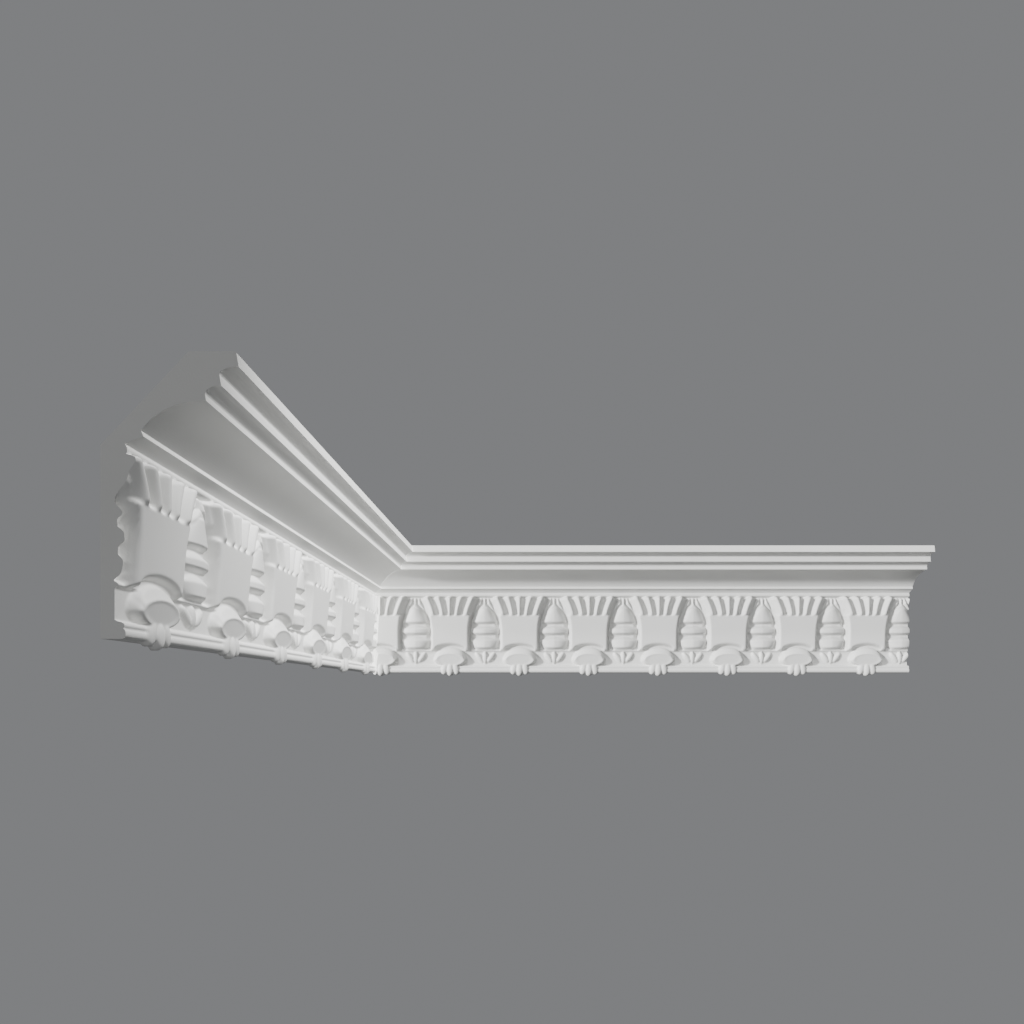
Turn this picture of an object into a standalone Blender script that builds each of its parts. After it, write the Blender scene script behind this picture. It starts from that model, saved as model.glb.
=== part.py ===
"""Ornamental cornice taken round the internal corner of a room.

Two moulded lengths, each cut square at its free end, meet in a mitre at the corner. Every
length has a plain backing with a carved frieze below a cove and three stepped fillets. The
frieze repeats a fan-topped tongue over a round boss, with a string of husks between tongues.

Run with: blender --background --python part.py
"""

import math

import bmesh
import bpy
from mathutils import Matrix, Vector

# Lengths along the walls from the corner of the room, in metres, and the joint between them
BACK_LENGTH = 0.838
LEFT_LENGTH = 0.642
MITRE_GAP = 0.0003

# Backing, from its underside up: the wall to the frieze's reference face, then its steps
FACE = 0.014
LIP_HEIGHT = 0.009
LIP_PROUD = 0.002
RECESS_DEPTH = 0.005
RECESS_TOP = 0.033
STEP_SLOPE = 0.002
GROUND_DEPTH = 0.0025
TOP_BAND_FOOT = 0.117
TOP_BAND_PROUD = 0.0029
FRIEZE_TOP = 0.123
SOFFIT_OUT = 0.0101
SOFFIT_RISE = 0.0045
COVE_EDGE = 0.0035
COVE_OUT = 0.0389
COVE_RISE = 0.0189
COVE_QUIRK = 0.0006

# The cove is the end of a quarter ellipse, which starts upright: the turn left off its start
COVE_START = math.radians(25)

# Fillets above the cove: height of the face, then how far its soffit runs out and up
FILLETS = ((0.0041, 0.0095, 0.0055), (0.007, 0.011, 0.0049))
TOP_FILLET = 0.0086
TOP_ROUND = 0.001

# Flat faces against the ceiling and the wall, with the corner behind left open
CEILING_SEAT = 0.029
WALL_SEAT = 0.122

# Pattern: repeat of the frieze, and the first tongue's centre from the corner of the room
REPEAT = 0.107
BACK_FIRST_TONGUE = 0.0235
LEFT_FIRST_TONGUE = 0.070
GROOVE = 0.006

# Tongue: heights above the underside, half widths, and how it leans out towards its head
TONGUE_PROUD = 0.005
TONGUE_LEAN = math.radians(1.8)
TONGUE_FOOT = 0.0345
TONGUE_WAIST = 0.058
TONGUE_SHOULDER = 0.112
TONGUE_FOOT_HALF = 0.0295
TONGUE_SHOULDER_HALF = 0.0435
TONGUE_FLARE = 1.7
ARCH_HALF = 0.0235
ARCH_RISE = 0.0085

# Fan: five lobes on the head of the tongue, parted by gaps at these distances off centre
FAN_FOOT = 0.086
FAN_PARTINGS_FOOT = (0.0043, 0.0171)
FAN_PARTINGS_TOP = (0.0082, 0.0245)
LOBE_PROUD = 0.0035
LOBE_GAP = 0.001
SCALLOP_RISE = 0.0035

# Boss under the arch of the tongue: an oval rim with a dome on it
BOSS_CENTRE = 0.0245
BOSS_HALF_WIDTH = 0.0225
BOSS_HALF_HEIGHT = 0.0145
BOSS_RIM = 0.0045
BOSS_RIM_PROUD = 0.006
BOSS_DOME_PROUD = 0.009

# Leaf tip: three drops over the lip, hanging a little below it
TIP_TOP = 0.013
TIP_DROP = 0.005
TIP_HALF_WIDTH = 0.0052
TIP_SIDE = 0.0085
TIP_TURN = math.radians(14)
TIP_PROUD = 0.005

# Husk string: foot and head of each bell, and how much narrower its head is
HUSK_TIERS = ((0.035, 0.058, 0.0045), (0.0555, 0.0765, 0.0045), (0.074, 0.1065, 0.0145))
HUSK_PROUD = 0.0085

# Bud and its two petals at the foot of the husk string
BUD_CENTRE = 0.0225
BUD_HALF_WIDTH = 0.004
BUD_HALF_HEIGHT = 0.0098
PETAL_OUT = 0.0088
PETAL_TURN = math.radians(38)
BUD_PROUD = 0.0045

# Facets of the round forms
LIP_STEPS = 3
COVE_STEPS = 8
SOFFIT_STEPS = 2
FLARE_STEPS = 2
SCALLOP_STEPS = 2
ARCH_STEPS = 5
DOME_RINGS = 2
DOME_SIDES = 6
BOSS_SIDES = 10
PETAL_SIDES = 4
HUSK_SIDES = 6
CREASE = math.radians(35)

# Roots of the carving inside the backing, and what the blanks have to spare at each end
ROOT = 0.001
OVERRUN = 0.03
WELD = 0.00001
QUARTER = math.pi / 2
PRIMED_WHITE = (0.83, 0.83, 0.82, 1.0)


def clear_scene():
    """Removes what a new file starts with."""
    for thing in list(bpy.data.objects):
        bpy.data.objects.remove(thing)


def primed_white(name):
    """Matt white primer on moulded polyurethane."""
    finish = bpy.data.materials.new(name)
    finish.use_nodes = True
    shader = finish.node_tree.nodes["Principled BSDF"]
    shader.inputs["Base Color"].default_value = PRIMED_WHITE
    shader.inputs["Roughness"].default_value = 0.55
    shader.inputs["Metallic"].default_value = 0.0
    return finish


def arc(centre, half, start, end, steps):
    """Points on an ellipse about centre, from one angle to another, both included."""
    turns = [start + (end - start) * i / steps for i in range(steps + 1)]
    return [(centre[0] + half[0] * math.cos(t), centre[1] + half[1] * math.sin(t)) for t in turns]


def backing_profile():
    """Section of the plain moulding, as (distance from the wall, height) points."""
    lip_half = LIP_HEIGHT / 2
    lip = arc((FACE, lip_half), (LIP_PROUD, lip_half), -QUARTER, QUARTER, LIP_STEPS)
    recess = FACE - RECESS_DEPTH
    ground = FACE - GROUND_DEPTH
    band = FACE + TOP_BAND_PROUD
    frieze = [
        (recess, LIP_HEIGHT + STEP_SLOPE),
        (recess, RECESS_TOP - STEP_SLOPE),
        (ground, RECESS_TOP),
        (ground, TOP_BAND_FOOT - STEP_SLOPE),
        (band, TOP_BAND_FOOT),
        (band, FRIEZE_TOP),
    ]
    out = band + SOFFIT_OUT
    height = FRIEZE_TOP + SOFFIT_RISE
    edge = [(out, height)]
    height += COVE_EDGE
    half = (COVE_OUT / math.cos(COVE_START), COVE_RISE / (1 - math.sin(COVE_START)))
    centre = (out + COVE_OUT, height + COVE_RISE - half[1])
    cove = arc(centre, half, math.pi - COVE_START, QUARTER, COVE_STEPS)
    out += COVE_OUT + COVE_QUIRK
    height += COVE_RISE
    fillets = [(out, height)]
    for face, step_out, step_rise in FILLETS:
        height += face
        centre = (out + step_out, height)
        fillets += arc(centre, (step_out, step_rise), math.pi, QUARTER, SOFFIT_STEPS)
        out += step_out
        height += step_rise
    height += TOP_FILLET
    seat = height + TOP_ROUND
    top = [(out, height), (out - TOP_ROUND, seat), (out - TOP_ROUND - CEILING_SEAT, seat)]
    return lip + frieze + edge + cove + fillets + top + [(0.0, WALL_SEAT), (0.0, 0.0)]


def tongue_half_width(height):
    """Half width of the tongue at a height: straight up to the waist, then flaring."""
    share = max(0.0, (height - TONGUE_WAIST) / (TONGUE_SHOULDER - TONGUE_WAIST))
    return TONGUE_FOOT_HALF + (TONGUE_SHOULDER_HALF - TONGUE_FOOT_HALF) * share**TONGUE_FLARE


def tongue_outline():
    """Front outline of the tongue: foot with its arch, flaring sides and scalloped head."""
    flare = TONGUE_SHOULDER - TONGUE_WAIST
    heights = [TONGUE_WAIST + flare * i / FLARE_STEPS for i in range(FLARE_STEPS + 1)]
    right = [(tongue_half_width(z), z) for z in [TONGUE_FOOT, *heights]]
    stops = [TONGUE_SHOULDER_HALF, *reversed(FAN_PARTINGS_TOP)]
    stops += [-x for x in reversed(stops)]
    head = []
    for a, b in zip(stops, stops[1:]):
        middle = ((a + b) / 2, TONGUE_SHOULDER)
        head += arc(middle, ((a - b) / 2, SCALLOP_RISE), 0, math.pi, SCALLOP_STEPS)[1:]
    left = [(-x, z) for x, z in reversed(right)][1:]
    arch = arc((0, TONGUE_FOOT), (ARCH_HALF, ARCH_RISE), math.pi, 0, ARCH_STEPS)
    return right + head + left + arch


def extruded(points, thickness):
    """A flat outline drawn in X and Y, with a thickness to both sides of that plane."""
    curve = bpy.data.curves.new("outline", "CURVE")
    curve.dimensions = "2D"
    curve.fill_mode = "BOTH"
    curve.extrude = thickness / 2
    spline = curve.splines.new("POLY")
    spline.points.add(len(points) - 1)
    for point, (x, y) in zip(spline.points, points):
        point.co = (x, y, 0, 1)
    spline.use_cyclic_u = True
    holder = bpy.data.objects.new("outline", curve)
    bpy.context.scene.collection.objects.link(holder)
    graph = bpy.context.evaluated_depsgraph_get()
    mesh = bpy.data.meshes.new_from_object(holder.evaluated_get(graph))
    bpy.data.objects.remove(holder)
    bpy.data.curves.remove(curve)
    shape = bmesh.new()
    shape.from_mesh(mesh)
    bmesh.ops.remove_doubles(shape, verts=shape.verts, dist=WELD)
    bmesh.ops.recalc_face_normals(shape, faces=shape.faces)
    shape.to_mesh(mesh)
    shape.free()
    return mesh


def dome(centre, half, turn=0.0, sides=DOME_SIDES):
    """Half an ellipsoid bulging out from a face, rooted a little behind it.

    centre is (along, out, up), with out counted from the wall to the face, and half is its
    half width, its bulge and its half height. turn leans its head towards +X.
    """
    shape = bmesh.new()
    bmesh.ops.create_uvsphere(shape, u_segments=sides, v_segments=2 * DOME_RINGS, radius=1)
    bmesh.ops.rotate(shape, matrix=Matrix.Rotation(QUARTER, 3, "X"), verts=shape.verts)
    behind = [v for v in shape.verts if v.co.y > WELD]
    bmesh.ops.delete(shape, geom=behind, context="VERTS")
    bmesh.ops.holes_fill(shape, edges=[e for e in shape.edges if e.is_boundary])
    bmesh.ops.recalc_face_normals(shape, faces=shape.faces)
    size = Vector((half[0], half[1] + ROOT, half[2]))
    bmesh.ops.scale(shape, vec=size, verts=shape.verts)
    bmesh.ops.rotate(shape, matrix=Matrix.Rotation(turn, 3, "Y"), verts=shape.verts)
    along, out, up = centre
    bmesh.ops.translate(shape, vec=Vector((along, ROOT - out, up)), verts=shape.verts)
    mesh = bpy.data.meshes.new("dome")
    shape.to_mesh(mesh)
    shape.free()
    return mesh


def bell(foot, head, narrowing):
    """One husk: a flattened cone with a ridge down its front and a flat underside."""
    half = REPEAT / 2 - GROOVE - tongue_half_width(foot)
    shape = bmesh.new()
    bmesh.ops.create_cone(
        shape,
        cap_ends=True,
        segments=HUSK_SIDES,
        radius1=half,
        radius2=half - narrowing,
        depth=head - foot,
    )
    bmesh.ops.scale(shape, vec=Vector((1, HUSK_PROUD / half, 1)), verts=shape.verts)
    middle = Vector((0, GROUND_DEPTH - FACE, (foot + head) / 2))
    bmesh.ops.translate(shape, vec=middle, verts=shape.verts)
    mesh = bpy.data.meshes.new("husk")
    shape.to_mesh(mesh)
    shape.free()
    return mesh


def tongue():
    """The tongue's plate and the five lobes of its fan, leaning out from the foot."""
    plate = extruded(tongue_outline(), FACE)
    plate.transform(Matrix.Translation((0, FACE / 2, 0)) @ Matrix.Rotation(QUARTER, 4, "X"))
    parts = [plate]
    foot = (-FAN_PARTINGS_FOOT[0], *FAN_PARTINGS_FOOT, tongue_half_width(FAN_FOOT))
    top = (-FAN_PARTINGS_TOP[0], *FAN_PARTINGS_TOP, TONGUE_SHOULDER_HALF)
    length = TONGUE_SHOULDER + SCALLOP_RISE - FAN_FOOT
    for i in range(3):
        low = (foot[i] + foot[i + 1]) / 2
        high = (top[i] + top[i + 1]) / 2
        width = (foot[i + 1] - foot[i] + top[i + 1] - top[i]) / 2 - LOBE_GAP
        turn = math.atan2(high - low, length)
        half = (width / 2, LOBE_PROUD, length / 2 - LOBE_GAP)
        for way in (1, -1) if i else (1,):
            middle = (way * (low + high) / 2, 0, FAN_FOOT + length / 2)
            parts.append(dome(middle, half, way * turn))
    to_foot = Matrix.Translation((0, 0, -TONGUE_FOOT))
    lean = Matrix.Rotation(TONGUE_LEAN, 4, "X")
    place = Matrix.Translation((0, -(FACE + TONGUE_PROUD), TONGUE_FOOT))
    for mesh in parts:
        mesh.transform(place @ lean @ to_foot)
    return parts


def boss():
    """The boss in the recess under the arch."""
    face = FACE - RECESS_DEPTH
    rim = (BOSS_HALF_WIDTH, BOSS_RIM_PROUD, BOSS_HALF_HEIGHT)
    inset = 2 * ROOT
    eye = (BOSS_HALF_WIDTH - BOSS_RIM, BOSS_DOME_PROUD - inset, BOSS_HALF_HEIGHT - BOSS_RIM)
    return [
        dome((0, face, BOSS_CENTRE), rim, sides=BOSS_SIDES),
        dome((0, face + inset, BOSS_CENTRE), eye, sides=BOSS_SIDES),
    ]


def leaf_tip():
    """The three drops over the lip, the middle one lowest."""
    half_height = (TIP_TOP + TIP_DROP) / 2
    middle = (TIP_TOP - TIP_DROP) / 2
    half = (TIP_HALF_WIDTH, TIP_PROUD, half_height)
    drops = [dome((0, FACE, middle), half)]
    for way in (1, -1):
        centre = (way * TIP_SIDE, FACE - ROOT / 2, middle + ROOT)
        drops.append(dome(centre, half, -way * TIP_TURN))
    return drops


def bud():
    """The bud and its two petals in the recess under the husks."""
    out = FACE - RECESS_DEPTH
    half = (BUD_HALF_WIDTH, BUD_PROUD, BUD_HALF_HEIGHT)
    petals = [dome((0, out, BUD_CENTRE), half, sides=PETAL_SIDES)]
    for way in (1, -1):
        centre = (way * PETAL_OUT, out - ROOT / 2, BUD_CENTRE)
        petals.append(dome(centre, half, way * PETAL_TURN, sides=PETAL_SIDES))
    return petals


def add_object(name, mesh):
    """An object for a mesh, in the scene."""
    made = bpy.data.objects.new(name, mesh)
    bpy.context.scene.collection.objects.link(made)
    return made


def combine(target, mesh, operation):
    """Joins a mesh to an object, or keeps what they share."""
    other = add_object("other", mesh)
    step = target.modifiers.new(operation, "BOOLEAN")
    step.operation = operation
    step.object = other
    step.solver = "EXACT"
    graph = bpy.context.evaluated_depsgraph_get()
    made = bpy.data.meshes.new_from_object(target.evaluated_get(graph))
    target.modifiers.clear()
    target.data = made
    bpy.data.objects.remove(other)


def fused(meshes):
    """One mesh from several that overlap."""
    body = add_object("fused", meshes[0])
    for mesh in meshes[1:]:
        combine(body, mesh, "UNION")
    mesh = body.data
    bpy.data.objects.remove(body)
    return mesh


def carving(tongues, husks):
    """One mesh of the frieze's carving, with tongues and husks at the given distances."""
    under_tongue = fused(boss() + leaf_tip())
    husk_string = fused([bell(*tier) for tier in HUSK_TIERS])
    placed = ((fused(tongue()), tongues), (under_tongue, tongues))
    placed += ((husk_string, husks), (fused(bud()), husks))
    shape = bmesh.new()
    for mesh, places in placed:
        for along in places:
            copy = mesh.copy()
            copy.transform(Matrix.Translation((along, 0, 0)))
            shape.from_mesh(copy)
            bpy.data.meshes.remove(copy)
    mesh = bpy.data.meshes.new("carving")
    shape.to_mesh(mesh)
    shape.free()
    return mesh


def moulded_length(name, length, first_tongue, corner_at_start):
    """One length of cornice with its carving, trimmed to its mitre and its square end.

    It lies along X with the wall at y = 0 and the room at negative y, from x = 0 to length.
    first_tongue is the distance from the corner of the room to the nearest tongue.
    """
    profile = backing_profile()
    out = max(x for x, _ in profile)
    top = max(z for _, z in profile)
    blank = extruded(profile, length + 2 * OVERRUN)
    along_x = Matrix(((0, 0, 1, length / 2), (-1, 0, 0, 0), (0, 1, 0, 0), (0, 0, 0, 1)))
    blank.transform(along_x)
    blank.flip_normals()
    made = add_object(name, blank)

    tongues = [first_tongue + REPEAT * i for i in range(-1, int(length / REPEAT) + 2)]
    husks = [along + REPEAT / 2 for along in tongues]
    spare = OVERRUN - ROOT
    placed = []
    for places, half in ((tongues, TONGUE_SHOULDER_HALF), (husks, REPEAT / 2 - TONGUE_FOOT_HALF)):
        kept = [a for a in places if -spare < a - half and a - half < length + spare]
        placed.append([a if corner_at_start else length - a for a in kept])
    combine(made, carving(*placed), "UNION")

    joint = MITRE_GAP / math.sqrt(2)
    far = out + OVERRUN
    room = [(joint, 0), (joint + far, -far), (length, -far), (length, 0)]
    if not corner_at_start:
        room = [(length - x, y) for x, y in room]
    keep = extruded(room, 2 * (top + OVERRUN))
    combine(made, keep, "INTERSECT")
    return made


def finish_object(thing, holder, finish):
    """Gives an object its finish, shading and place in the collection."""
    thing.data.materials.clear()
    thing.data.materials.append(finish)
    thing.data.shade_smooth()
    thing.data.set_sharp_from_angle(angle=CREASE)
    bpy.context.scene.collection.objects.unlink(thing)
    holder.objects.link(thing)


def main():
    """Builds both lengths about the corner of the room."""
    clear_scene()
    cornice = bpy.data.collections.new("cornice_corner")
    bpy.context.scene.collection.children.link(cornice)
    corner = bpy.data.objects.new("corner_of_room", None)
    cornice.objects.link(corner)
    corner.location = (-BACK_LENGTH / 2, 0, -WALL_SEAT / 2)
    back = moulded_length("back_length", BACK_LENGTH, BACK_FIRST_TONGUE, True)
    left = moulded_length("left_length", LEFT_LENGTH, LEFT_FIRST_TONGUE, False)
    left.location = (0, -LEFT_LENGTH, 0)
    left.rotation_euler = (0, 0, QUARTER)
    for thing in (back, left):
        finish_object(thing, cornice, primed_white(thing.name + "_white"))
        thing.parent = corner
    bpy.context.view_layer.update()


main()
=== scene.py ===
"""Looks of an ornamental cornice taken round the internal corner of a room.

Both lengths are cast in hard polyurethane foam and primed white. Each gets one mesh that
carries the full relief of its frieze: tongues with fanned heads over round bosses, strings of
husks between them, and small leaf tips over the lip.
"""

import logging
import math
from dataclasses import dataclass, field
from enum import Enum

import bmesh
import bpy
import numpy as np
from mathutils import Matrix, Vector

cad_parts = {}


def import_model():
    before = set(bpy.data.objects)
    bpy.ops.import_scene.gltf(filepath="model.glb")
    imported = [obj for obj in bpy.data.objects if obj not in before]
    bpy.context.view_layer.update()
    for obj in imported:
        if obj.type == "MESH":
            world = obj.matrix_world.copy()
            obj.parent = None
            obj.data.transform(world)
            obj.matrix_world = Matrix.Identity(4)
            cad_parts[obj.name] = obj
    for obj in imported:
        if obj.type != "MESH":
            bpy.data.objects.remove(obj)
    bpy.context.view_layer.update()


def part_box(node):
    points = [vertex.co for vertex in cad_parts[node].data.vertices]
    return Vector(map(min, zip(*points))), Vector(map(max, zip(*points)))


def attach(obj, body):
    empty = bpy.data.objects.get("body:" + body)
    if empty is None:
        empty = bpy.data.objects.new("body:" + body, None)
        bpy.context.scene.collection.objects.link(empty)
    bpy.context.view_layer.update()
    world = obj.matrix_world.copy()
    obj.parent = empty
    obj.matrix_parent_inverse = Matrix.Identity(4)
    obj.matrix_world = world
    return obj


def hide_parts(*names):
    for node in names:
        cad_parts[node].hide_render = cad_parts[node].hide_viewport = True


log = logging.getLogger("cornice")
MM = 0.001
QUARTER = math.pi / 2

# Millimetres within which two places, or a place and a cut, count as one.
SAME_PLACE = 1e-4
ON_CUT = 1e-5

# A carved form: its relief at each point, and the share of it that stands there.
Form = tuple[np.ndarray, np.ndarray]


class Hand(Enum):
    """Which end of a length is cut to the mitre, seen from the room."""

    CORNER_AT_START = "start"
    CORNER_AT_END = "end"


def linear_from_hex(code: str) -> tuple[float, float, float, float]:
    """Turns an sRGB hex colour to the linear values that a shader takes.

    Args:
        code: Six hex digits, with or without a leading hash.

    Returns:
        Linear red, green and blue, and an alpha of one.
    """
    digits = code.lstrip("#")
    shares = [int(digits[i : i + 2], 16) / 255 for i in (0, 2, 4)]
    linear = [c / 12.92 if c <= 0.04045 else ((c + 0.055) / 1.055) ** 2.4 for c in shares]
    return (*linear, 1.0)


def add_node(
    tree: bpy.types.NodeTree, kind: str, links: dict[str, object], **settings: object
) -> bpy.types.Node:
    """Adds a shader node with its settings and its inputs.

    Args:
        tree: The node tree that takes the node.
        kind: The node's type, such as ShaderNodeBump.
        links: Input names, each with a value or with the socket that feeds it.
        settings: The node's own properties.

    Returns:
        The new node.
    """
    node = tree.nodes.new(kind)
    for name, value in settings.items():
        setattr(node, name, value)
    for name, value in links.items():
        if isinstance(value, bpy.types.NodeSocket):
            tree.links.new(value, node.inputs[name])
        else:
            node.inputs[name].default_value = value
    return node


def start_finish(
    name: str,
) -> tuple[bpy.types.Material, bpy.types.Node, bpy.types.NodeSocket]:
    """Starts a node material.

    Args:
        name: The real finish and how it is made.

    Returns:
        The material, its surface shader, and the socket of Object coordinates in metres.
    """
    made = bpy.data.materials.new(name)
    made.use_nodes = True
    shader = made.node_tree.nodes["Principled BSDF"]
    place = add_node(made.node_tree, "ShaderNodeTexCoord", {}).outputs["Object"]
    return made, shader, place


def grains(
    tree: bpy.types.NodeTree, place: bpy.types.NodeSocket, size_mm: float, detail: float
) -> bpy.types.NodeSocket:
    """Adds noise whose grains are about the given size.

    Args:
        tree: The material's node tree.
        place: Socket of the coordinates, in metres.
        size_mm: Size of a grain.
        detail: Octaves of finer noise.

    Returns:
        The noise's value.
    """
    links = {"Vector": place, "Scale": 1.0 / (size_mm * MM), "Detail": detail}
    return add_node(tree, "ShaderNodeTexNoise", links).outputs["Fac"]


def mixed_coat(
    tree: bpy.types.NodeTree, share: bpy.types.NodeSocket, thin: str, full: str
) -> bpy.types.NodeSocket:
    """Adds a paint colour between two sRGB hex colours.

    Args:
        tree: The material's node tree.
        share: How much of the full coat lies at a place.
        thin: Colour where the coat is thin.
        full: Colour where the coat is full.

    Returns:
        The colour.
    """
    links = {"Factor": share, "A": linear_from_hex(thin), "B": linear_from_hex(full)}
    return add_node(tree, "ShaderNodeMix", links, data_type="RGBA").outputs["Result"]


def smooth(share: np.ndarray) -> np.ndarray:
    """Eases a share from 0 to 1, held at both ends."""
    held = np.clip(share, 0.0, 1.0)
    return held * held * (3.0 - 2.0 * held)


def bulge(share: np.ndarray) -> np.ndarray:
    """Height of a round bulge: 1 at a share of 0, and 0 from a share of 1 on."""
    return np.sqrt(np.clip(1.0 - share * share, 0.0, 1.0))


@dataclass(frozen=True)
class PrimedFoam:
    """White primer sprayed on moulded polyurethane.

    The mould leaves a closed skin with slow ripples, and the primer dries on it to a matt
    stipple, so the eye gets an even warm white whose lights have soft edges.
    """

    name: str = "primed_polyurethane_moulded"
    full_coat: str = "#D5D5D3"
    thin_coat: str = "#CDCDCA"
    ior: float = 1.48
    roughness: tuple[float, float] = (0.5, 0.62)
    cloud_mm: float = 60.0
    cloud_octaves: float = 3.0
    # A sprayed stipple is about 0.3 mm wide. It is drawn coarser, so that it can show.
    stipple_mm: float = 1.2
    stipple_depth_mm: float = 0.04
    ripple_mm: float = 14.0
    ripple_depth_mm: float = 0.05

    def material(self) -> bpy.types.Material:
        """Makes the finish as a node material.

        Returns:
            The material.
        """
        made, shader, place = start_finish(self.name)
        tree = made.node_tree
        shader.inputs["IOR"].default_value = self.ior
        shader.inputs["Metallic"].default_value = 0.0
        cloud = grains(tree, place, self.cloud_mm, self.cloud_octaves)
        coat = mixed_coat(tree, cloud, self.thin_coat, self.full_coat)
        tree.links.new(coat, shader.inputs["Base Color"])
        low, high = self.roughness
        sheen = add_node(
            tree, "ShaderNodeMapRange", {"Value": cloud, "To Min": high, "To Max": low}
        )
        tree.links.new(sheen.outputs["Result"], shader.inputs["Roughness"])
        ripple = self._bump(tree, place, self.ripple_mm, self.ripple_depth_mm)
        stipple = self._bump(tree, place, self.stipple_mm, self.stipple_depth_mm, ripple)
        tree.links.new(stipple, shader.inputs["Normal"])
        return made

    @staticmethod
    def _bump(
        tree: bpy.types.NodeTree,
        place: bpy.types.NodeSocket,
        grain_mm: float,
        depth_mm: float,
        under: bpy.types.NodeSocket | None = None,
    ) -> bpy.types.NodeSocket:
        """Adds a bump of noise over another.

        Args:
            tree: The material's node tree.
            place: Socket of the coordinates, in metres.
            grain_mm: Size of a grain.
            depth_mm: Height from its hollows to its tops.
            under: Normal that it lies on, or None for the plain surface.

        Returns:
            The bumped normal.
        """
        links = {
            "Height": grains(tree, place, grain_mm, 1.0),
            "Strength": 1.0,
            "Distance": depth_mm * MM,
        }
        if under is not None:
            links["Normal"] = under
        return add_node(tree, "ShaderNodeBump", links).outputs["Normal"]


@dataclass(frozen=True)
class StudioFloor:
    """A pale matt studio floor, far below the ceiling that the cornice is made for.

    The paint is rolled on, and its coats lie a little thinner in broad patches, which the eye
    gets as a floor without an edge or a shine.
    """

    name: str = "pale_studio_floor_rolled_paint"
    full_coat: str = "#DBDBD9"
    thin_coat: str = "#D5D5D3"
    roughness: float = 0.8
    patch_mm: float = 400.0
    patch_octaves: float = 2.0

    def material(self) -> bpy.types.Material:
        """Makes the floor's paint.

        Returns:
            The material.
        """
        made, shader, place = start_finish(self.name)
        tree = made.node_tree
        patches = grains(tree, place, self.patch_mm, self.patch_octaves)
        coat = mixed_coat(tree, patches, self.thin_coat, self.full_coat)
        tree.links.new(coat, shader.inputs["Base Color"])
        shader.inputs["Roughness"].default_value = self.roughness
        return made


@dataclass
class Section:
    """Plain members of the cornice, in millimetres.

    The relief counts from the face, which stands off the wall. The soffit and the cove are
    given as how far they step out and how far they rise. Each fillet below the top one is
    given as its own height, and then the step out and the rise of the hollow over it.
    """

    face: float = 14.0
    frieze_top: float = 123.0
    band_proud: float = 2.9
    soffit: tuple[float, float] = (10.1, 4.5)
    cove_edge: float = 3.5
    edge_batter: float = 0.4
    cove: tuple[float, float] = (38.9, 18.9)
    cove_start: float = math.radians(25)
    cove_quirk: float = 0.6
    fillets: tuple[tuple[float, float, float], ...] = ((4.1, 9.5, 5.5), (7.0, 11.0, 4.9))
    top_fillet: float = 8.6
    top_round: float = 1.0
    batter: float = 0.16
    ceiling_seat: float = 29.0
    wall_seat: float = 122.0
    cove_steps: int = 24
    hollow_steps: int = 7

    def crown_points(self) -> list[tuple[float, float]]:
        """Works out the members above the frieze and the back of the moulding.

        Returns:
            Points (out from the wall, up from the underside), from the soffit's outer edge
            over the top to the wall seat's top.
        """
        out = self.face + self.band_proud + self.soffit[0]
        up = self.frieze_top + self.soffit[1]
        points = [(out, up)]
        up += self.cove_edge
        back = self.edge_batter * self.cove_edge
        run, rise = self.cove
        size = (run + back, rise)
        points += self._hollow(out - back, up, size, self.cove_steps, self.cove_start)
        out += run + self.cove_quirk
        up += rise
        points.append((out, up))
        for height, step_out, step_up in self.fillets:
            up += height
            lean = self.batter * height
            points.append((out - lean, up))
            arc = self._hollow(out - lean, up, (step_out + lean, step_up), self.hollow_steps)
            points += arc[1:]
            out += step_out
            up += step_up
        up += self.top_fillet
        out -= self.batter * self.top_fillet
        points.append((out, up))
        seat = up + self.top_round
        points.append((out - self.top_round, seat))
        points.append((out - self.top_round - self.ceiling_seat, seat))
        points.append((0.0, self.wall_seat))
        return points

    @staticmethod
    def _hollow(
        out: float, up: float, size: tuple[float, float], steps: int, first: float = 0.0
    ) -> list[tuple[float, float]]:
        """Gives a hollow on an ellipse that ends level.

        Args:
            out: Start of the hollow from the wall.
            up: Start of the hollow above the underside.
            size: How far it runs out and up.
            steps: Number of straight pieces.
            first: How far its start is turned from upright, in radians.

        Returns:
            Its points, with both ends.
        """
        half = (size[0] / math.cos(first), size[1] / (1 - math.sin(first)))
        centre = (out + size[0], up + size[1] - half[1])
        turns = [first + (QUARTER - first) * i / steps for i in range(steps + 1)]
        return [
            (centre[0] - half[0] * math.cos(t), centre[1] + half[1] * math.sin(t)) for t in turns
        ]


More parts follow.
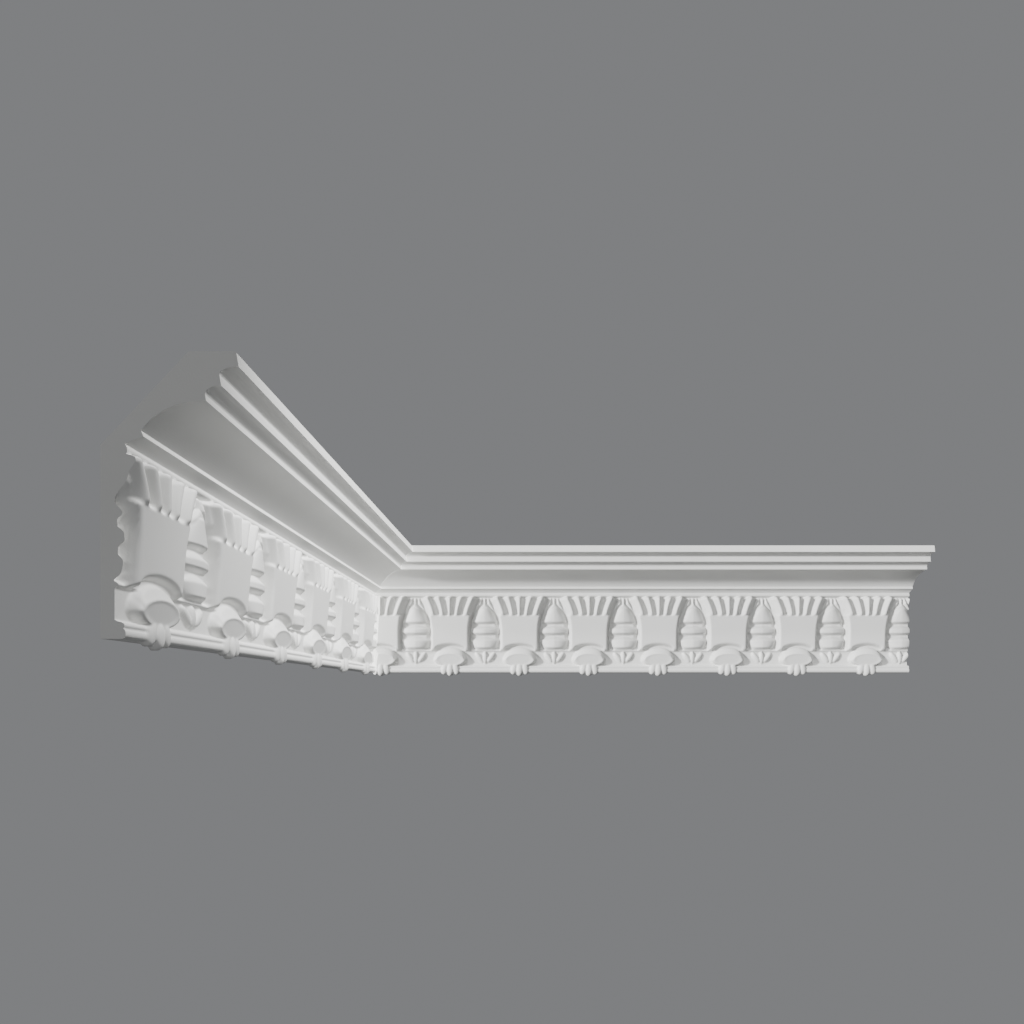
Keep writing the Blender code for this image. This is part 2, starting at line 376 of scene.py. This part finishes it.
@dataclass
class Frieze:
    """Relief of the carved frieze, in millimetres.

    Heights are above the moulding's underside, widths are to each side of a tongue's or a
    husk's middle line, and relief counts outwards from the frieze's reference face. A pair
    called proud has the relief at a form's edge, or foot, and at its middle, or head.
    """

    repeat: float = 107.0
    top: float = 123.0
    wall: float = 1.7
    deep_wall: float = 3.4

    # Lip, bead and chamfer have a height and a relief, and the recess a foot and a head.
    lip: tuple[float, float] = (6.6, 2.0)
    bead: tuple[float, float] = (3.6, 1.2)
    recess: float = -5.0
    recess_span: tuple[float, float] = (11.0, 32.0)
    ground: float = -2.5
    band: float = 2.9
    band_foot: float = 116.0
    band_chamfer: tuple[float, float] = (3.0, 1.6)

    # The gutter has its distance off a form, its spread and its depth, and the spandrel the
    # heights where it starts and ends to rise and how far it rises.
    tongue_foot: float = 34.5
    tongue_waist: float = 58.0
    tongue_shoulder: float = 112.0
    tongue_half: tuple[float, float] = (29.5, 42.5)
    tongue_flare: float = 2.2
    tongue_proud: tuple[float, float] = (4.0, 8.2)
    tongue_bevel: tuple[float, float] = (4.0, 1.5)
    gutter: tuple[float, float, float] = (3.0, 2.8, 4.6)
    spandrel: tuple[float, float, float] = (82.0, 100.0, 6.4)
    run_out: float = 3.0
    arch: tuple[float, float] = (23.5, 8.5)

    # The fan's partings lie at these places at its foot and at its head.
    fan_foot: float = 86.0
    fan_head: float = 115.5
    fan_start: float = 5.0
    partings_foot: tuple[float, float] = (4.3, 17.1)
    partings_head: tuple[float, float] = (8.8, 26.5)
    parting_curve: float = 1.6
    parting_depth: float = 5.0
    lobe_proud: float = 2.4
    scallop: float = 4.5

    # The face has a half width and a half height, its rim a place and a spread as shares of
    # those, and the outer oval a half width and a reach above and below the middle.
    boss_middle: float = 20.0
    boss_face: tuple[float, float] = (20.5, 9.0)
    boss_proud: float = 4.4
    boss_lean: float = 0.2
    boss_rim: tuple[float, float] = (1.0, 0.14)
    boss_rim_proud: float = 0.45
    boss_outer: tuple[float, float, float] = (24.5, 18.5, 10.5)
    boss_eave: float = 1.0
    boss_slope: float = 0.85

    tip_drop: float = 5.0
    tip_side_drop: float = 2.8
    tip_height: float = 9.5
    tip_middle: float = 4.5
    tip_half: float = 5.2
    tip_side: float = 8.6
    tip_turn: float = 0.22
    tip_proud: tuple[float, float] = (1.7, 5.2)
    tip_step: float = 0.9
    tip_rise: float = 1.5

    # Each husk has its foot, its head and its relief.
    husk_half: float = 21.5
    husk_wide: tuple[float, float] = (50.0, 60.0)
    husk_apex: float = 106.0
    husk_foot: float = 35.0
    husk_foot_half: float = 13.5
    husk_foot_curve: float = 1.5
    husk_tiers: tuple[tuple[float, float, float], ...] = (
        (35.0, 57.5, 4.4),
        (57.0, 75.0, 5.2),
        (74.0, 106.0, 5.2),
    )
    husk_swell: float = 9.0
    husk_taper: float = 2.2
    husk_keel: float = 0.1
    husk_round: float = 5.0
    husk_round_curve: int = 3
    husk_droop: float = 2.2
    slot: float = 4.4

    bud_middle: float = 23.5
    bud_half: tuple[float, float] = (3.8, 9.5)
    petal_out: float = 8.8
    petal_turn: float = 0.66
    bud_proud: tuple[float, float] = (1.0, 4.2)

    def relief(self, along: np.ndarray, up: np.ndarray) -> np.ndarray:
        """Works out the relief at points of the frieze.

        Args:
            along: Distances along the run from a tongue's middle line.
            up: Heights above the underside.

        Returns:
            Relief at each point.
        """
        x = self._from_tongue(along)
        from_husk = along % self.repeat - self.repeat / 2
        relief = self._spandrel(self._backing(up), x, from_husk, up)
        forms = [
            self._boss(x, up),
            *self._leaf_tip(x, up),
            *self._bud(from_husk, up),
            *self._husks(from_husk, up),
            self._tongue(x, up),
        ]
        for height, cover in forms:
            relief = self._over(relief, height, cover)
        return relief

    def underside(self, along: np.ndarray) -> np.ndarray:
        """Height of the lower edge: 0, and below it where a leaf tip hangs."""
        x = self._from_tongue(along)
        drop = np.zeros_like(x)
        for middle, low in ((0.0, self.tip_drop), (self.tip_side, self.tip_side_drop)):
            share = (np.abs(x) - middle) / self.tip_half
            drop = np.maximum(drop, low * bulge(share))
        return -drop

    def tongue_half_at(self, up: np.ndarray) -> np.ndarray:
        """Half width of the tongue at a height."""
        flared = self.tongue_shoulder - self.tongue_waist
        share = np.clip((up - self.tongue_waist) / flared, 0, 1)
        foot, head = self.tongue_half
        return foot + (head - foot) * share**self.tongue_flare

    def _from_tongue(self, along: np.ndarray) -> np.ndarray:
        """Distances from the nearest tongue's middle line."""
        return (along + self.repeat / 2) % self.repeat - self.repeat / 2

    @staticmethod
    def _over(under: np.ndarray, height: np.ndarray, cover: np.ndarray) -> np.ndarray:
        """Lays a form over what is there, keeping whichever stands prouder."""
        return np.maximum(under, under + (height - under) * cover)

    def _cover(self, inside: np.ndarray, wall: float | None = None) -> np.ndarray:
        """Turns a distance inside an outline into the share of a form that stands there."""
        return smooth(inside / (wall or self.wall) + 0.5)

    def _backing(self, up: np.ndarray) -> np.ndarray:
        """Plain members of the frieze: lip and bead, recess, ground and top band."""
        lip_height, lip_proud = self.lip
        bead_height, bead_proud = self.bead
        low, high = self.recess_span
        relief = np.full_like(up, self.recess)
        relief = relief - self.recess * smooth((low - up) / self.wall + 0.5)
        relief = relief + (self.ground - self.recess) * smooth((up - high) / self.wall)
        relief = relief + (self.band - self.ground) * smooth((up - self.band_foot) / self.wall)
        chamfer, back = self.band_chamfer
        relief = relief - back * np.clip((up - self.top + chamfer) / chamfer, 0, 1)
        lip = lip_proud * bulge((up - lip_height / 2) / (lip_height / 2))
        bead = bead_proud * bulge((up - lip_height - bead_height / 2) / (bead_height / 2))
        return relief + np.where(up < lip_height, lip, bead)

    def _spandrel(
        self, relief: np.ndarray, x: np.ndarray, from_husk: np.ndarray, up: np.ndarray
    ) -> np.ndarray:
        """Raises the ground over the husks and sinks a gutter round tongues and husks.

        Args:
            relief: The plain members.
            x: Distances from the tongue's middle line.
            from_husk: Distances from the husk string's middle line.
            up: Heights above the underside.

        Returns:
            The relief of the ground that the forms stand on.
        """
        low, high, rise = self.spandrel
        from_foot = smooth((up - self.tongue_foot) / self.run_out)
        there = from_foot * smooth((self.band_foot - up) / self.run_out)
        raised = rise * smooth((up - low) / (high - low))
        off, spread, depth = self.gutter
        by_tongue = np.abs(x) - self.tongue_half_at(up)
        by_husk = np.abs(from_husk) - self._husk_half_at(up)
        sunk = np.zeros_like(up)
        for outside in (by_tongue, by_husk):
            sunk = np.maximum(sunk, np.exp(-(((outside - off) / spread) ** 2)))
        return relief + there * (raised - depth * sunk)

    def _boss(self, x: np.ndarray, up: np.ndarray) -> Form:
        """Oval boss: a gently crowned face whose top runs back up under the arch."""
        half, rise = self.boss_face
        from_middle = up - self.boss_middle
        ring = np.sqrt((x / half) ** 2 + (from_middle / rise) ** 2)
        top = self.boss_middle + rise * bulge(x / (half + self.boss_eave))
        place, spread = self.boss_rim
        rim = np.exp(-(((ring - place) / spread) ** 2))
        height = self.boss_proud + from_middle * self.boss_lean + self.boss_rim_proud * rim
        height = height - self.boss_slope * np.maximum(0.0, up - top)
        wide, above, below = self.boss_outer
        reach = np.where(up > self.boss_middle, above, below)
        outer = np.sqrt((x / wide) ** 2 + (from_middle / reach) ** 2)
        return height, self._cover((1.0 - outer) * below)

    def _drop(
        self,
        x: np.ndarray,
        up: np.ndarray,
        middle: tuple[float, float],
        half: tuple[float, float],
        turn: float,
        proud: tuple[float, float],
    ) -> Form:
        """A rounded drop or petal, leaning by turn.

        Args:
            x: Distances from the motif's middle line.
            up: Heights above the underside.
            middle: Its centre.
            half: Its half width and half height.
            turn: How far its head leans towards positive x, in radians.
            proud: Relief at its edge and at its middle.

        Returns:
            Its relief and the share of it that stands at each point.
        """
        across = (x - middle[0]) * math.cos(turn) - (up - middle[1]) * math.sin(turn)
        lengthwise = (x - middle[0]) * math.sin(turn) + (up - middle[1]) * math.cos(turn)
        ring = np.sqrt((across / half[0]) ** 2 + (lengthwise / half[1]) ** 2)
        edge, crown = proud
        return edge + (crown - edge) * bulge(ring), self._cover((1.0 - ring) * half[0])

    def _leaf_tip(self, x: np.ndarray, up: np.ndarray) -> list[Form]:
        """Three lobes of a leaf tip over the lip, the side ones splayed."""
        half = (self.tip_half, self.tip_height)
        lower = tuple(proud - self.tip_step for proud in self.tip_proud)
        lobes = []
        for way in (-1, 1):
            middle = (way * self.tip_side, self.tip_middle + self.tip_rise)
            lobes.append(self._drop(x, up, middle, half, -way * self.tip_turn, lower))
        middle = (0.0, self.tip_middle)
        return [*lobes, self._drop(x, up, middle, half, 0.0, self.tip_proud)]

    def _bud(self, x: np.ndarray, up: np.ndarray) -> list[Form]:
        """A bud between two petals, in the recess below the husks."""
        proud = tuple(self.recess + over for over in self.bud_proud)
        petals = []
        for way in (-1, 1):
            middle = (way * self.petal_out, self.bud_middle)
            turn = way * self.petal_turn
            petals.append(self._drop(x, up, middle, self.bud_half, turn, proud))
        middle = (0.0, self.bud_middle)
        return [*petals, self._drop(x, up, middle, self.bud_half, 0.0, proud)]

    def _husk_half_at(self, up: np.ndarray) -> np.ndarray:
        """Half width of the husk string at a height: drawn in at its foot and its apex."""
        low, high = self.husk_wide
        above = np.clip((up - high) / (self.husk_apex - high), 0, 1)
        below = np.clip((low - up) / (low - self.husk_foot), 0, 1)
        drawn_in = (self.husk_half - self.husk_foot_half) * below**self.husk_foot_curve
        return self.husk_half * (1 - above**self.husk_taper) - drawn_in

    def _husks(self, x: np.ndarray, up: np.ndarray) -> list[Form]:
        """Three husks, each out of the one below it and hanging over it with its lower rim."""
        forms = []
        half = self._husk_half_at(up)
        off = np.abs(x)
        to_side = np.clip(off / np.maximum(half, self.wall), 0, 1)
        for foot, head, proud in self.husk_tiers:
            rim = foot - self.husk_droop * bulge(x / self.husk_half) + self.husk_droop
            below = smooth((up - rim) / self.slot)
            swell = smooth((head - up) / self.husk_swell)
            height = self.ground + (proud - self.ground) * swell
            height = height - self.husk_keel * off
            height = height - self.husk_round * to_side**self.husk_round_curve
            sides = self._cover(half - off, self.deep_wall)
            forms.append((height, sides * below * self._cover(head - up)))
        return forms

    def _tongue(self, x: np.ndarray, up: np.ndarray) -> Form:
        """The tongue: a bevelled panel over the arch, and five fanned lobes for its head."""
        half = self.tongue_half_at(up)
        off = np.abs(x)
        wide, rise = self.arch
        foot = self.tongue_foot + rise * bulge(off / wide)
        lobe, head = self._fan(off, up, half)
        low, high = self.tongue_proud
        lean = np.clip((up - self.tongue_foot) / (self.fan_foot - self.tongue_foot), 0, 1)
        height = low + (high - low) * lean
        bevel_width, bevel_depth = self.tongue_bevel
        inside = np.minimum(np.minimum(half - off, up - foot), head - up)
        height = height - bevel_depth * (1 - smooth(inside / bevel_width))
        fanned = smooth((up - self.fan_foot) / self.fan_start)
        raised = (self.lobe_proud + self.parting_depth) * lobe - self.parting_depth
        return height + fanned * raised, self._cover(inside, self.deep_wall)

    def _fan(
        self, off: np.ndarray, up: np.ndarray, half: np.ndarray
    ) -> tuple[np.ndarray, np.ndarray]:
        """Five lobes that spread over the head of a tongue, with rounded ends.

        Args:
            off: Distances to either side of the tongue's middle line.
            up: Heights above the underside.
            half: Half width of the tongue at those heights.

        Returns:
            How far each point is up its lobe's round, from 0 in a parting to 1 on the ridge,
            and the height where its lobe ends.
        """
        to_head = np.clip((up - self.fan_foot) / (self.fan_head - self.fan_foot), 0, 1)
        curve = to_head**self.parting_curve
        partings = [
            low + (high - low) * curve
            for low, high in zip(self.partings_foot, self.partings_head)
        ]
        edges = [-partings[0], *partings, half]
        lobe = np.zeros_like(up)
        head = np.full_like(up, self.tongue_shoulder)
        for inner, outer in zip(edges, edges[1:]):
            share = (off - (inner + outer) / 2) / ((outer - inner) / 2)
            within = np.abs(share) <= 1.0
            lobe = np.where(within, 0.5 + 0.5 * np.cos(math.pi * share), lobe)
            head = np.where(within, self.tongue_shoulder + self.scallop * bulge(share), head)
        return lobe, head


@dataclass
class CorniceLength:
    """One length of the cornice: its relief, its plain members and its cuts.

    All its sizes are in millimetres. The first tongue's middle line is that far along the run
    from the corner of the room, and a cell is one square of the relief's grid.
    """

    node: str
    hand: Hand
    first_tongue: float
    cell: float
    section: Section = field(default_factory=Section)
    frieze: Frieze = field(default_factory=Frieze)
    mitre_gap: float = 0.3
    tip_back: float = 3.0
    tip_slope: float = 1.0
    crease: float = math.radians(28)
    length: float = field(init=False, default=0.0)

    def build(self, finish: bpy.types.Material) -> bpy.types.Object:
        """Makes the length as one closed mesh in its place.

        Args:
            finish: Its material.

        Returns:
            The finished object, which replaces the plain node.
        """
        low, high = (Vector(c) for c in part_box(self.node))
        span = high - low
        node_length = (span.x if self.hand is Hand.CORNER_AT_START else span.y) / MM
        self.length = round(node_length + self._set_back(), 3)
        shape = self._relief_sheet()
        self._add_crown(shape)
        self._cut_and_close(shape)
        self._place(shape, low, high)
        mesh = bpy.data.meshes.new(self.node + "_cast")
        shape.to_mesh(mesh)
        shape.free()
        mesh.materials.append(finish)
        piece = bpy.data.objects.new(self.node + "_cast", mesh)
        bpy.context.scene.collection.objects.link(piece)
        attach(piece, "root")
        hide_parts(self.node)
        log.info("%s: %d faces", piece.name, len(mesh.polygons))
        return piece

    def _set_back(self) -> float:
        """How far the mitre's gap holds the length off the corner, along the wall."""
        return self.mitre_gap / math.sqrt(2)

    def _from_corner(self, x: np.ndarray) -> np.ndarray:
        """Distances along the run from the corner of the room, from a place along X."""
        return x if self.hand is Hand.CORNER_AT_START else self.length - x

    def _relief_sheet(self) -> bmesh.types.BMesh:
        """Models the frieze and the underside as one fine sheet.

        Returns:
            The sheet, with X along the run and the room at negative Y, in millimetres.
        """
        columns = round(self.length / self.cell)
        under_rows = len(self._underside_rows())
        rows = round(self.frieze.top / self.cell) + under_rows
        shape = bmesh.new()
        bmesh.ops.create_grid(shape, x_segments=columns, y_segments=rows, size=1.0)
        mesh = bpy.data.meshes.new("sheet")
        shape.to_mesh(mesh)
        points = np.empty(len(mesh.vertices) * 3, dtype=np.float32)
        mesh.vertices.foreach_get("co", points)
        points = points.reshape(-1, 3).astype(np.float64)
        x = (points[:, 0] + 1) / 2 * self.length
        row = np.rint((points[:, 1] + 1) / 2 * rows) - under_rows
        out, up = self._carved(x, row, rows - under_rows)
        placed = np.stack([x, -out, up], axis=1).astype(np.float32)
        mesh.vertices.foreach_set("co", placed.ravel())
        shape.clear()
        shape.from_mesh(mesh)
        bpy.data.meshes.remove(mesh)
        for face in shape.faces:
            face.smooth = True
        return shape

    def _underside_rows(self) -> tuple[tuple[float, float], ...]:
        """Rows under the moulding: each one's place out, and its share of the tips' drop."""
        behind = self.section.face - self.tip_back
        return ((0.0, 0.0), (behind - self.tip_slope, 0.0), (behind, 1.0))

    def _carved(
        self, x: np.ndarray, row: np.ndarray, last: int
    ) -> tuple[np.ndarray, np.ndarray]:
        """Places the sheet's points: over the carving, and back under it to the wall.

        Args:
            x: Places along X.
            row: Rows up the frieze from its lower edge, and below 0 under the moulding.
            last: The frieze's top row.

        Returns:
            How far out each point lies, and its height.
        """
        along = self._from_corner(x) - self.first_tongue
        edge = self.frieze.underside(along)
        up = np.clip(row / last, 0, 1) * self.frieze.top
        # Below the recess the rows are drawn down with the leaf tips.
        bend = self.frieze.recess_span[0]
        up = np.where(up < bend, edge + up * (bend - edge) / bend, up)
        out = self.section.face + self.frieze.relief(along, up)
        under = self._underside_rows()
        for number, (row_out, drop_share) in enumerate(under, start=-len(under)):
            out = np.where(row == number, row_out, out)
            up = np.where(row == number, drop_share * edge, up)
        return out, up

    def _add_crown(self, shape: bmesh.types.BMesh) -> None:
        """Adds the plain members and the back, and joins them to the sheet's long edges.

        Args:
            shape: The relief sheet, which is changed.
        """
        start = min(v.co.x for v in shape.verts)
        end = max(v.co.x for v in shape.verts)
        low = [e for e in shape.edges if e.is_boundary and self._lies_along(e, 0.0)]
        high = [e for e in shape.edges if e.is_boundary and self._lies_along(e, self.frieze.top)]
        points = self.section.crown_points()
        line = [shape.verts.new((start, -out, up)) for out, up in points]
        chain = [shape.edges.new(pair) for pair in zip(line, line[1:])]
        swept = bmesh.ops.extrude_edge_only(shape, edges=chain)["geom"]
        moved = [v for v in swept if isinstance(v, bmesh.types.BMVert)]
        bmesh.ops.translate(shape, verts=moved, vec=(end - start, 0, 0))
        by_place = {(round(v.co.y, 3), round(v.co.z, 3)): v for v in moved}
        for near, rim in ((line[0], high), (line[-1], low)):
            far = by_place[(round(near.co.y, 3), round(near.co.z, 3))]
            bmesh.ops.bridge_loops(shape, edges=[*rim, shape.edges.get((near, far))])
        bmesh.ops.recalc_face_normals(shape, faces=shape.faces)

    @staticmethod
    def _lies_along(edge: bmesh.types.BMEdge, up: float) -> bool:
        """Tells whether an edge runs along X at a height."""
        first, second = edge.verts
        level = all(abs(end.co.z - up) < SAME_PLACE for end in edge.verts)
        return level and abs(first.co.x - second.co.x) > SAME_PLACE

    def _cut_and_close(self, shape: bmesh.types.BMesh) -> None:
        """Cuts the mitre, closes both ends, and keeps the creases of plain faces sharp.

        Args:
            shape: The open length, which is changed.
        """
        at_start = self.hand is Hand.CORNER_AT_START
        corner = self._set_back() if at_start else self.length - self._set_back()
        away = Vector((-1, -1, 0) if at_start else (1, -1, 0))
        bmesh.ops.bisect_plane(
            shape,
            geom=[*shape.verts, *shape.edges, *shape.faces],
            dist=ON_CUT,
            plane_co=Vector((corner, 0, 0)),
            plane_no=away,
            clear_outer=True,
        )
        rims = [e for e in shape.edges if e.is_boundary]
        closed = bmesh.ops.holes_fill(shape, edges=rims)["faces"]
        for face in closed:
            face.smooth = False
        bmesh.ops.recalc_face_normals(shape, faces=shape.faces)
        for edge in shape.edges:
            if len(edge.link_faces) == 2:
                plain = not all(f.smooth for f in edge.link_faces)
                if plain and edge.calc_face_angle() > self.crease:
                    edge.smooth = False

    def _place(self, shape: bmesh.types.BMesh, low: Vector, high: Vector) -> None:
        """Turns the length to its wall and moves it there, in metres.

        Args:
            shape: The closed length, which is changed.
            low: Lowest corner of its node.
            high: Highest corner of its node.
        """
        top = max(up for _, up in self.section.crown_points())
        floor = high.z / MM - top
        if self.hand is Hand.CORNER_AT_START:
            place = Matrix.Translation((high.x / MM - self.length, high.y / MM, floor))
        else:
            turn = Matrix.Rotation(QUARTER, 4, "Z")
            place = Matrix.Translation((low.x / MM, low.y / MM, floor)) @ turn
        whole = Matrix.Scale(MM, 4) @ place
        bmesh.ops.transform(shape, matrix=whole, verts=shape.verts)


@dataclass(frozen=True)
class DistantLamp:
    """A far lamp, flagged so that it lights one length alone.

    It stands far off in the direction that towards gives, along X, Y and Z from the length.
    """

    name: str
    towards: tuple[float, float, float]
    strength: float
    shadows: bool = False
    spread: float = math.radians(4)

    def build(self, lit: bpy.types.Object) -> None:
        """Adds the lamp.

        Args:
            lit: The only piece that it lights.
        """
        lamp = bpy.data.lights.new(self.name, "SUN")
        lamp.energy = self.strength
        lamp.angle = self.spread
        lamp.use_shadow = self.shadows
        # Only the turn of a far lamp counts, so it hangs a metre up.
        aim(lamp, Vector((0, 0, 1)), Vector(self.towards), lit)


@dataclass(frozen=True)
class PanelLamp:
    """A soft panel that faces the back wall from just inside the left length's free end.

    It lights the carving's near sides, and leaves the cut end in the even grey of the room.
    Its sizes are in metres.
    """

    name: str = "panel_from_the_front"
    width: float = 1.4
    height: float = 0.9
    power: float = 60.0
    middle_x: float = 0.3
    inside_cut: float = 0.001
    foot: float = 0.25

    def build(self, lit: bpy.types.Object, cut: float) -> None:
        """Adds the panel.

        Args:
            lit: The only piece that it lights.
            cut: The Y of the free end.
        """
        lamp = bpy.data.lights.new(self.name, "AREA")
        lamp.shape = "RECTANGLE"
        lamp.size = self.width
        lamp.size_y = self.height
        lamp.energy = self.power
        lamp.use_shadow = False
        place = Vector((self.middle_x, cut + self.inside_cut, self.foot + self.height / 2))
        aim(lamp, place, Vector((0, -1, 0)), lit)


def aim(lamp: bpy.types.Light, place: Vector, towards: Vector, lit: bpy.types.Object) -> None:
    """Hangs a lamp with its back towards a direction, over one piece.

    Args:
        lamp: The lamp.
        place: Where it hangs.
        towards: The way that its back faces.
        lit: The only piece that it lights, and the only one that shades it.
    """
    holder = bpy.data.objects.new(lamp.name, lamp)
    holder.location = place
    holder.rotation_euler = towards.to_track_quat("Z", "Y").to_euler()
    bpy.context.scene.collection.objects.link(holder)
    flagged = bpy.data.collections.new("lit_by_" + lamp.name)
    flagged.objects.link(lit)
    holder.light_linking.receiver_collection = flagged
    holder.light_linking.blocker_collection = flagged


@dataclass(frozen=True)
class PhotoCamera:
    """The photograph's camera: level, square to the back wall, and low in the corner.

    Its lens is shifted, so upright edges stay upright. The vanishing point of the left length
    is at centre_px, from the picture's upper left. Distances are in metres: right of the left
    frieze, in front of the left length's cut and below the cornice.
    """

    image_px: float = 1024.0
    focal_px: float = 686.4
    centre_px: tuple[float, float] = (548.4, 696.0)
    sensor_mm: float = 36.0
    off_frieze: float = 0.268
    before_cut: float = 0.432
    below_lip: float = 0.036
    near: float = 0.01

    def build(self, corner: Vector, face: float, underside: float) -> None:
        """Adds the camera and makes it the scene's own.

        Args:
            corner: Where the left wall meets the plane of the left length's cut.
            face: How far the frieze stands off the wall.
            underside: The Z of the cornice's underside.
        """
        lens = bpy.data.cameras.new("camera")
        lens.sensor_width = self.sensor_mm
        lens.lens = self.focal_px / self.image_px * self.sensor_mm
        lens.shift_x = (self.image_px / 2 - self.centre_px[0]) / self.image_px
        lens.shift_y = (self.centre_px[1] - self.image_px / 2) / self.image_px
        lens.clip_start = self.near
        holder = bpy.data.objects.new("camera", lens)
        right = corner.x + face + self.off_frieze
        holder.location = (right, corner.y - self.before_cut, underside - self.below_lip)
        holder.rotation_euler = (QUARTER, 0, 0)
        bpy.context.scene.collection.objects.link(holder)
        bpy.context.scene.camera = holder


@dataclass
class Studio:
    """Floor, lights and camera. Its sizes are in metres.

    The photograph lights the back length from its left and the left length from above, so
    each length has lamps of its own.
    """

    floor_below: float = 2.2
    floor_radius: float = 3.0
    floor_sides: int = 96
    backdrop: str = "#7F8082"
    back_lamps: tuple[DistantLamp, ...] = (
        DistantLamp("side_key_on_back", (-0.84, -0.54, 0.19), 7.9, shadows=True),
        DistantLamp("front_key_on_back", (-0.45, -0.85, 0.2), 1.1),
        DistantLamp("top_key_on_back", (-0.3, -0.5, 0.85), 1.5, shadows=True),
    )
    left_lamps: tuple[DistantLamp, ...] = (
        DistantLamp("key_on_left", (0.45, 0.0, 0.9), 4.8),
        DistantLamp("fill_on_left", (0.0, -1.0, 0.0), 0.38),
    )
    panel: PanelLamp = PanelLamp()
    camera: PhotoCamera = PhotoCamera()

    def build(self, back: bpy.types.Object, left: bpy.types.Object) -> None:
        """Sets out the floor, the world, the lights and the camera.

        Args:
            back: The length on the back wall.
            left: The length on the left wall.
        """
        self._floor()
        self._world()
        for lamp in self.back_lamps:
            lamp.build(back)
        for lamp in self.left_lamps:
            lamp.build(left)
        corner = Vector(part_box("left_length")[0])
        self.panel.build(left, corner.y)
        underside = corner.z + Frieze.tip_drop * MM
        self.camera.build(corner, Section.face * MM, underside)

    def _floor(self) -> None:
        """Lays a round floor far below the cornice."""
        shape = bmesh.new()
        bmesh.ops.create_circle(
            shape, cap_ends=True, segments=self.floor_sides, radius=self.floor_radius
        )
        bmesh.ops.translate(shape, verts=shape.verts, vec=(0, 0, -self.floor_below))
        mesh = bpy.data.meshes.new("floor")
        shape.to_mesh(mesh)
        shape.free()
        mesh.materials.append(StudioFloor().material())
        floor = bpy.data.objects.new("floor", mesh)
        bpy.context.scene.collection.objects.link(floor)

    def _world(self) -> None:
        """Gives the even grey of the backdrop, which is also the soft light all round."""
        world = bpy.data.worlds.new("studio")
        world.use_nodes = True
        sky = world.node_tree.nodes["Background"]
        sky.inputs["Color"].default_value = linear_from_hex(self.backdrop)
        sky.inputs["Strength"].default_value = 1.0
        bpy.context.scene.world = world


def main() -> None:
    """Builds the cornice's two lengths and the studio."""
    logging.basicConfig(level=logging.INFO, format="%(name)s %(message)s")
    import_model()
    finish = PrimedFoam().material()
    lengths = (
        CorniceLength("back_length", Hand.CORNER_AT_START, first_tongue=23.5, cell=1.05),
        CorniceLength("left_length", Hand.CORNER_AT_END, first_tongue=70.0, cell=0.93),
    )
    back, left = [length.build(finish) for length in lengths]
    Studio().build(back, left)
    log.info("studio: floor, lights and camera in place")


if __name__ == "__main__":
    main()
